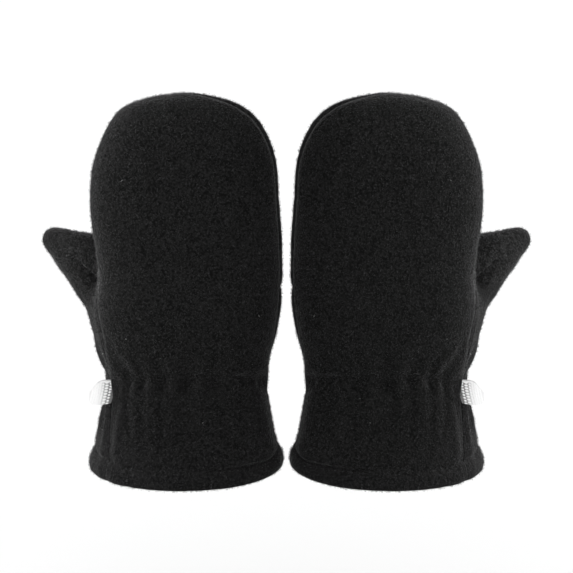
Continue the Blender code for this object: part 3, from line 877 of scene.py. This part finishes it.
def round_thumb_opening(points):
    """Draws the square opening's edge in to a circle, in mesh steps."""
    half = THUMB_COLUMNS / 2
    centre = THUMB_LOW + half, THUMB_NEAR + half
    rounded = points.copy()
    for step in range(THUMB_LOW, THUMB_HIGH + 1):
        for column in range(THUMB_NEAR, THUMB_NEAR + THUMB_COLUMNS + 1):
            up, across = (step - centre[0]) / half, (column - centre[1]) / half
            if max(abs(up), abs(across)) == 1:
                reach = half / math.hypot(up, across)
                spot = centre[0] + up * reach, centre[1] + across * reach
                rounded[step, column] = between(points, *spot)
    return rounded


palm_cage = Cage()
palm_numbers = palm_cage.add_panel(round_thumb_opening(panel_points(1)))
palm_faces = {"palm_base": [], "palm_top": []}
for step in range(PATH_STEPS):
    row = step if step < TOP_ROW else PATH_STEPS - 1 - step
    part = "palm_base"
    if TOP_ROW <= step < TOP_ROW + DOME_STEPS or row >= CROSS_SEAM_ROW:
        part = "palm_top"
    for column in range(COLUMNS):
        in_opening = THUMB_NEAR <= column < THUMB_NEAR + THUMB_COLUMNS
        if in_opening and THUMB_LOW <= step < THUMB_HIGH:
            continue
        near, far, next_near, next_far = palm_numbers[step : step + 2, column : column + 2].ravel()
        palm_cage.add_face(next_near, next_far, far, near)
        palm_faces[part].append(palm_cage.faces[-1])

# Round the thumb's opening, from the cross seam up on the side that is near the side seam.
near_seam, near_middle = THUMB_NEAR + THUMB_COLUMNS, THUMB_NEAR
opening = [(step, near_seam) for step in range(CROSS_SEAM_ROW, THUMB_HIGH)]
opening += [(THUMB_HIGH, column) for column in range(near_seam, near_middle, -1)]
opening += [(step, near_middle) for step in range(THUMB_HIGH, THUMB_LOW, -1)]
opening += [(THUMB_LOW, column) for column in range(near_middle, near_seam)]
opening += [(step, near_seam) for step in range(THUMB_LOW, CROSS_SEAM_ROW)]
loop = [int(palm_numbers[place]) for place in opening]

side_seam = set(palm_numbers[:, COLUMNS].tolist())
beside = {corner for face in palm_cage.faces if set(face) & set(loop) for corner in face}
soft = set(loop) | (beside - side_seam)
centres = [np.array([ring.out, ring.depth, ring.height]) for ring in THUMB_RINGS]
centres.append(np.array(THUMB_TIP))
around = len(loop)


def thumb_place(point, progress):
    return ((point[0] - DOME_MIDDLE) / HALF_WIDTH, point[2], progress)


def join_thumb(loop, next_loop):
    for place in range(around):
        after = (place + 1) % around
        palm_cage.add_face(loop[after], loop[place], next_loop[place], next_loop[after])
        part = "palm_top" if place < around // 2 else "palm_base"
        palm_faces[part].append(palm_cage.faces[-1])


for number, ring in enumerate(THUMB_RINGS):
    axis = unit(centres[number + 1] - centres[max(number - 1, 0)])
    up = unit(np.array([-axis[2], 0.0, axis[0]]))
    to_back = np.cross(up, axis)
    to_back *= -np.sign(to_back[1])
    ring_numbers = []
    for place in range(around):
        angle = 2 * math.pi * place / around
        point = centres[number] + ring.half_height * math.sin(angle) * up
        point = point + ring.half_depth * math.cos(angle) * to_back
        progress = (number + 1) / (len(THUMB_RINGS) + 1)
        ring_numbers.append(palm_cage.add(point, thumb_place(point, progress)))
    join_thumb(loop, ring_numbers)
    loop = ring_numbers
    if number == 0:
        soft.update(loop)
tip = palm_cage.add(THUMB_TIP, thumb_place(THUMB_TIP, 1.0))
join_thumb(loop, [tip] * around)

# The thumb's root is eased so that it leaves the palm without a step.
eased = bmesh.new()
for point in palm_cage.points:
    eased.verts.new(point)
eased.verts.ensure_lookup_table()
for face in palm_cage.faces:
    eased.faces.new([eased.verts[corner] for corner in face])
for _ in range(ROOT_EASINGS):
    bmesh.ops.smooth_vert(
        eased,
        verts=[eased.verts[number] for number in sorted(soft)],
        factor=0.5,
        use_axis_x=True,
        use_axis_y=True,
        use_axis_z=True,
    )
palm_cage.points = [np.array(vert.co[:]) for vert in eased.verts]
eased.free()

for part, faces in palm_faces.items():
    cloth[part] = walled(palm_cage.cut(faces), palm_gathers)

dress("palm_base")
dress("palm_top")


# ---- The stitching ----
# Black thread holds down the hem's fold and the elastic's two edges. It is sewn on the
# machine, so each row of short stitches shows both outside and inside, sunk in the cloth.

STITCH_LENGTH = 2.1
STITCH_PITCH = 2.6
THREAD_RADIUS = 0.17
THREAD_SIDES = 5
ROW_ENDS = 0.985
ROW_POINTS = 160
ROW_NEAREST = 4
ROW_SOFTENING = 0.05
STITCH_SHAPE = ((-0.5, -0.6), (-0.4, -0.25), (-0.2, -0.08), (0.2, -0.08), (0.4, -0.25), (0.5, -0.6))


def black_thread():
    """Spun sewing thread, with a little more shine than the fleece."""
    finish = Finish("black_thread")
    finish.bumped(finish.grain(5200.0, 1.0).outputs["Fac"], 0.4, 0.00005)
    finish.settle(
        finish.shader,
        Base_Color=(0.0015, 0.0015, 0.0016, 1.0),
        Roughness=0.7,
        Specular_IOR_Level=0.05,
    )
    return finish.material


def row_line(face, spots, edge):
    """The way along a stitch row on a face: points about half a millimetre apart, and normals."""
    tree = search_tree(face.places * [WRIST_ARC, 1, 0])
    normals = normals_of(face.points, face.faces)
    line, ways = [], []
    for share in np.linspace(-ROW_ENDS, ROW_ENDS, ROW_POINTS):
        height = row_values(share, spots, edge)
        near = tree.find_n((share * WRIST_ARC, height, 0.0), ROW_NEAREST)
        weights = np.array([1 / (found[2] + ROW_SOFTENING) for found in near])
        numbers = [found[1] for found in near]
        line.append(weights @ face.points[numbers] / weights.sum())
        ways.append(weights @ normals[numbers])
    return np.array(line), unit(np.array(ways))


def stitched(lines):
    """One mesh of all the stitches along some lines."""
    points, faces = [], []
    for line, ways in lines:
        along = walked(line)
        for middle in np.arange(STITCH_PITCH, along[-1] - STITCH_PITCH / 2, STITCH_PITCH):
            first = len(points)
            stops = [middle + STITCH_LENGTH * at for at, _ in STITCH_SHAPE]
            spots = np.stack([np.interp(stops, along, line[:, axis]) for axis in range(3)], axis=1)
            out = unit(np.array([np.interp(middle, along, ways[:, axis]) for axis in range(3)]))
            side = unit(np.cross(spots[-1] - spots[0], out))
            for spot, (_, rise) in zip(spots, STITCH_SHAPE):
                for number in range(THREAD_SIDES):
                    turn = 2 * math.pi * number / THREAD_SIDES
                    ring = math.cos(turn) * out + math.sin(turn) * side
                    points.append(spot + rise * out + THREAD_RADIUS * ring)
            for ring in range(len(STITCH_SHAPE) - 1):
                for number in range(THREAD_SIDES):
                    a = first + ring * THREAD_SIDES + number
                    b = first + ring * THREAD_SIDES + (number + 1) % THREAD_SIDES
                    faces.append([a, a + THREAD_SIDES, b + THREAD_SIDES, b])
            last = len(points) - THREAD_SIDES
            faces.append([first + number for number in range(THREAD_SIDES)])
            faces.append([last + number for number in reversed(range(THREAD_SIDES))])
    return np.array(points), faces


thread = black_thread()
rows = {"hem": [], "elastic": []}
for part, gathers in (("back", back_gathers), ("palm_base", palm_gathers)):
    for face in (cloth[part].outer, cloth[part].inner):
        rows["hem"].append(row_line(face, gathers.hem, "height"))
        rows["elastic"].append(row_line(face, gathers.rows, "upper"))
        rows["elastic"].append(row_line(face, gathers.rows, "lower"))
for row, lines in rows.items():
    new_pair(f"{row}_stitches", *stitched(lines), thread, "black_fleece")


# ---- The side tab ----
# A short length of white woven tape, folded in two, is caught in the thumb-side seam just
# below the gathers. Its raised dots stand in slanting columns, and the ground between them is
# painted grey as the shade in its hollows, darkest near the seam.

TabStrip = namedtuple("TabStrip", "reach low high sway")
TAB = table(
    TabStrip,
    (-1.4, 27.6, 36.2, 1),
    (0.6, 27.5, 36.4, 0.6),
    (3, 27.3, 36.6, 0),
    (5, 27.2, 35.8, -0.4),
    (7, 27.4, 33.5, -0.2),
    (8.4, 28.8, 31.6, 0.1),
)
TAB_HALF = 0.5
TAPE = 0.36
GAP_REACHES = (0.05, 1.2, 2.9, 3.9, 4.7, 5.5, 6.4, 7.4)
DOT_WIDE = 1.1
DOT_UP = 1.08
DOT_RADIUS = 0.43
DOT_RISE = 0.14
DOT_LEAN = 0.17
DOT_LEVEL = 32.0
DOT_FULLNESS = 1.15
RIB_RISE = 0.75
RIB_POWER = 0.7
RIBS_FROM = 2.5
RIBS_OVER = 2.0
SHADE_LIFT_FROM = 0.8
SHADE_LIFT_OVER = 4.0
SHADE_LIFT_MOST = 0.64
SELVEDGE = 0.7
SELVEDGE_REACH = 4.0
FOLD_ROUND = 1.0
FOLD_POWER = 0.75
TAPE_HOLLOW_SHADE = (0.18, 0.18, 0.18)
TAPE_WHITE = (0.95, 0.95, 0.95)
TAB_STEPS = 50
TAB_LEVELS = 56


def white_tape():
    """Woven white tape: bright raised dots, and the ground between them painted grey as the shade
    in its hollows.
    """
    finish = Finish("white_tape")
    weave = finish.shades(finish.level("raised"), (0.05, TAPE_HOLLOW_SHADE), (0.62, TAPE_WHITE))
    finish.bumped(finish.grain(3800.0, 2.0).outputs["Fac"], 0.3, 0.0001)
    finish.settle(finish.shader, [("Base Color", weave)], Roughness=0.55, Sheen_Weight=0.2)
    return finish.material


tape = white_tape()
seam_outs, seam_depths, seam_heights = panel_points(-1)[: TOP_ROW + 1, COLUMNS].T
tab_reaches, tab_lows, tab_highs, tab_sways = zip(*TAB)


def tab_spot(reach, level):
    """A spot on the tab's middle sheet: how far out, how deep and how high it is."""
    edges = tab_lows, tab_highs, tab_sways
    low, high, sway = [np.interp(reach, tab_reaches, values) for values in edges]
    height = low + (high - low) * level
    out = np.interp(height, seam_heights, seam_outs) + reach
    return out, np.interp(height, seam_heights, seam_depths) + sway, height


def woven(reach, height):
    """How far the weave stands out: round dots by the seam, which run together into ribs."""
    leaning = reach + DOT_LEAN * (height - DOT_LEVEL)
    across = np.interp(leaning, GAP_REACHES, np.arange(len(GAP_REACHES)) + 0.5)
    column = round(across)
    aside = abs(across - column) * DOT_WIDE
    up = height / DOT_UP + 0.5 * (column % 2)
    away = math.hypot(aside, (up - round(up)) * DOT_UP)
    dot = min(DOT_FULLNESS * max(1 - (away / DOT_RADIUS) ** 2, 0), 1) ** 0.5
    rib = math.cos(math.pi / 2 * min(aside / (DOT_WIDE / 2), 1)) ** RIB_POWER
    ribbed = min(max((reach - RIBS_FROM) / RIBS_OVER, 0), 1)
    return dot + (max(RIB_RISE * rib, dot) - dot) * ribbed


def tab_sheet(depth, outward):
    """One face of the folded tape, from the front's root round the fold to the back's root."""
    root, last = tab_reaches[0], tab_reaches[-1]
    spots, raised = [], []
    for share in np.linspace(0, 1, 2 * TAB_STEPS + 1):
        turn = 1 - abs(2 * share - 1)
        reach = root + (last - root) * math.sin(math.pi / 2 * turn) ** FOLD_POWER
        front = 1 if share <= 0.5 else -1
        half = depth * math.sqrt(max(1 - max((reach - last + FOLD_ROUND), 0.0) ** 2, 0.0))
        for level in np.linspace(0, 1, TAB_LEVELS + 1):
            out, sway, height = tab_spot(reach - (TAB_HALF - depth), level)
            stand = woven(reach, height) if outward else 1.0
            if reach < SELVEDGE_REACH and height > tab_spot(reach, 1.0)[2] - SELVEDGE:
                stand = 1.0
            spots.append([out, sway - front * (half + stand * DOT_RISE), height])
            # The hollows' painted shade lightens away from the seam, where the fleece shades them
            # less.
            pale = SHADE_LIFT_MOST * (1 - math.exp(-max(reach - SHADE_LIFT_FROM, 0.0) / SHADE_LIFT_OVER))
            raised.append(stand + (1 - stand) * pale)
    return np.array(spots), raised


outer_tape, outer_raised = tab_sheet(TAB_HALF, True)
inner_tape, inner_raised = tab_sheet(TAB_HALF - TAPE, False)
wide, long = TAB_LEVELS + 1, 2 * TAB_STEPS + 1
behind = wide * long
grid = np.arange(behind).reshape(long, wide)
squares = np.stack([grid[:-1, :-1], grid[:-1, 1:], grid[1:, 1:], grid[1:, :-1]], axis=-1)
tape_faces = []
for face in squares.reshape(-1, 4).tolist():
    tape_faces += [face[::-1], [corner + behind for corner in face]]
rim = [int(at) for at in (*grid[:, 0], *grid[-1, 1:], *grid[-2::-1, -1], *grid[0, -2:0:-1])]
for here, there in zip(rim, rim[1:] + rim[:1]):
    tape_faces.append([here, there, there + behind, here + behind])
tape_points = np.vstack([outer_tape, inner_tape])
weave = "raised", outer_raised + inner_raised
for hand, tab in new_pair("tape_tab_woven", tape_points, tape_faces, tape, "white_tape", *weave):
    for face in tab.data.polygons[-len(rim) :]:
        face.use_smooth = False
    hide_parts(f"{hand}_tape_tab")


# ---- The nap ----
# Brushing draws short fibres out of the fleece. They stand all over the outside, bent and
# combed in every direction, and make the soft edge of the cloth. A few are pale lint.

FIBRES_PER_MM2 = 3.0
FIBRE_LENGTH = (0.5, 1.2)
FIBRE_WIDTH = (0.08, 0.17)
FIBRE_BEND = (0.5, 2.4)
KNEE_BEND = 0.6
TIP_BEND = 2.0
ROOT_DEPTH = 0.1
TUFT = 0.9
TUFT_SEED = 20
TUFT_CONTRAST = 1.1
TUFT_SHARE = 0.6
TONE_SCALE = 0.9
TONE_POWER = 1.5
TONE_MOST = 0.91
PAINTED_LIGHT_UNEVEN = 0.6
PAINTED_LIGHT_ON_TUFTS = 0.8
PALE_SHARE = 0.0003
FIBRE_BLACK = (0.0006, 0.0006, 0.0006)
FIBRE_DARK = (0.022, 0.022, 0.0225)
FIBRE_PALE = (0.20, 0.20, 0.20)

rng = np.random.default_rng(7)


def fibre_finish():
    """Single fibres: nearly black, a little lighter than the knit below, a few pale."""
    finish = Finish("fleece_nap")
    tone = finish.level("tone")
    shade = finish.shades(tone, (0.0, FIBRE_BLACK), (1.0, FIBRE_PALE), (0.9, FIBRE_DARK))
    finish.settle(
        finish.shader,
        [("Base Color", shade)],
        Roughness=0.85,
        Specular_IOR_Level=0.03,
        Sheen_Weight=0.08,
        Sheen_Roughness=0.4,
    )
    return finish.material


nap_finish = fibre_finish()


def nap_of(face):
    """Slivers standing on a piece's outer face, each bent over, with the tone of each."""
    corners = face.points[face.faces]
    across = np.cross(corners[:, 2] - corners[:, 0], corners[:, 3] - corners[:, 1])
    area = np.linalg.norm(across, axis=1) / 2
    total = int(area.sum() * FIBRES_PER_MM2)
    chosen = rng.choice(len(face.faces), total, p=area / area.sum())
    u, v = rng.random((2, total, 1))
    quad = corners[chosen]
    root = (quad[:, 0] * (1 - u) + quad[:, 1] * u) * (1 - v)
    root += (quad[:, 3] * (1 - u) + quad[:, 2] * u) * v
    normal = unit(across[chosen])
    lean = rng.normal(size=(total, 3))
    lean = unit(lean - (lean * normal).sum(1, keepdims=True) * normal)
    side = np.cross(normal, lean) * rng.uniform(*FIBRE_WIDTH, (total, 1)) / 2
    long = rng.uniform(*FIBRE_LENGTH, (total, 1))
    tilt = rng.uniform(*FIBRE_BEND, (total, 1))
    knee = root + long * 0.5 * unit(normal + KNEE_BEND * tilt * lean)
    tip = knee + long * 0.5 * unit(normal + TIP_BEND * tilt * lean)
    slivers = np.stack([root - ROOT_DEPTH * normal, knee + side, tip, knee - side], axis=1)
    quads = np.arange(4 * total).reshape(-1, 4).tolist()
    tufts = np.clip(0.5 + TUFT_CONTRAST * noise_at(root, TUFT, TUFT_SEED), 0, 1)
    tone = TUFT_SHARE * tufts + (1 - TUFT_SHARE) * rng.random(total)
    tone = TONE_SCALE * tone**TONE_POWER
    uneven = 1 - PAINTED_LIGHT_UNEVEN / 2 + PAINTED_LIGHT_UNEVEN * rng.random(total)
    # Painted highlight and shade raise or lower the fibres' tone as well.
    tone += painted_light_at(root) * uneven * (1 - PAINTED_LIGHT_ON_TUFTS / 2 + PAINTED_LIGHT_ON_TUFTS * tufts)
    tone = np.clip(tone, 0.0, TONE_MOST)
    tone[rng.random(total) < PALE_SHARE] = 1.0
    return slivers.reshape(-1, 3), quads, np.repeat(tone, 4)


for part, whole in cloth.items():
    slivers, sliver_faces, tones = nap_of(whole.outer)
    new_pair(f"{part}_nap", slivers, sliver_faces, nap_finish, "black_fleece", "tone", tones)


# ---- The studio ----
# A white floor well below the hems, soft light from both sides and above, and a camera a
# little above the mittens, looking down at the backs of the hands.

FLOOR_DROP = 0.11
FLOOR_REACH = 20
WORLD_STRENGTH = 1.1
CAMERA_DISTANCE = 0.5
CAMERA_ELEVATION = math.radians(15.0)
AIM_HEIGHT = 0.0403
LENS = 83.87

scene = bpy.context.scene
aim = Vector((0.0, 0.0, AIM_HEIGHT))

low = -ELASTIC_HEIGHT * MM - FLOOR_DROP
floor_mesh = bpy.data.meshes.new("floor")
floor_corners = [
    (out * FLOOR_REACH, back * FLOOR_REACH, low)
    for out, back in ((-1, -1), (1, -1), (1, 1), (-1, 1))
]
floor_mesh.from_pydata(floor_corners, [], [(0, 1, 2, 3)])
floor_finish = Finish("pale_floor")
floor_finish.settle(floor_finish.shader, Base_Color=(0.95, 0.95, 0.95, 1.0), Roughness=0.9)
floor_mesh.materials.append(floor_finish.material)
stood("floor", floor_mesh)

world = bpy.data.worlds.new("studio")
scene.world = world
world.use_nodes = True
world.node_tree.nodes["Background"].inputs["Color"].default_value = (1.0, 1.0, 1.0, 1.0)
world.node_tree.nodes["Background"].inputs["Strength"].default_value = WORLD_STRENGTH

# The fleece of the two mittens is lit one at a time, each from its own thumb's side. The white
# tape has only the light from all round, or its weave would be lost. A place is for the left
# hand's mitten.
Softbox = namedtuple("Softbox", "name place size watts")
SOFTBOXES = table(
    Softbox,
    ("key", (0.44, -0.74, 0.08), 0.5, 8.2),
    ("rim", (0.90, 0.10, 0.25), 1.0, 46.0),
    ("fill", (-0.42, -0.86, -0.05), 0.6, 9.5),
)
OVERHEAD = Softbox("overhead", (0.0, -0.40, 0.85), 0.9, 6.0)


def hang(softbox, name, mirror, lit):
    """Hangs a soft box that lights only some pieces."""
    light = bpy.data.lights.new(name, "AREA")
    light.size, light.energy = softbox.size, softbox.watts
    lamp = stood(name, light)
    out, back, up = softbox.place
    lamp.location = (mirror * out, back, up)
    lamp.rotation_euler = (aim - lamp.location).to_track_quat("-Z", "Y").to_euler()
    lamp.light_linking.receiver_collection = lit


lit = {name: bpy.data.collections.new(f"{name}_fleece") for name in ("right", "left", "both")}
for hand, _ in HANDS:
    for piece in list(scene.objects):
        if piece.name.startswith(hand) and "tape" not in piece.name:
            lit[hand].objects.link(piece)
            lit["both"].objects.link(piece)
for softbox in SOFTBOXES:
    for hand, mirror in HANDS:
        hang(softbox, f"{softbox.name}_{hand}", mirror, lit[hand])
hang(OVERHEAD, OVERHEAD.name, 1, lit["both"])

camera_data = bpy.data.cameras.new("camera")
camera_data.lens = LENS
camera = stood("camera", camera_data)
away = Vector((0.0, -math.cos(CAMERA_ELEVATION), math.sin(CAMERA_ELEVATION)))
camera.location = aim + CAMERA_DISTANCE * away
camera.rotation_euler = (-away).to_track_quat("-Z", "Y").to_euler()
scene.camera = camera
scene.view_settings.view_transform = "Standard"
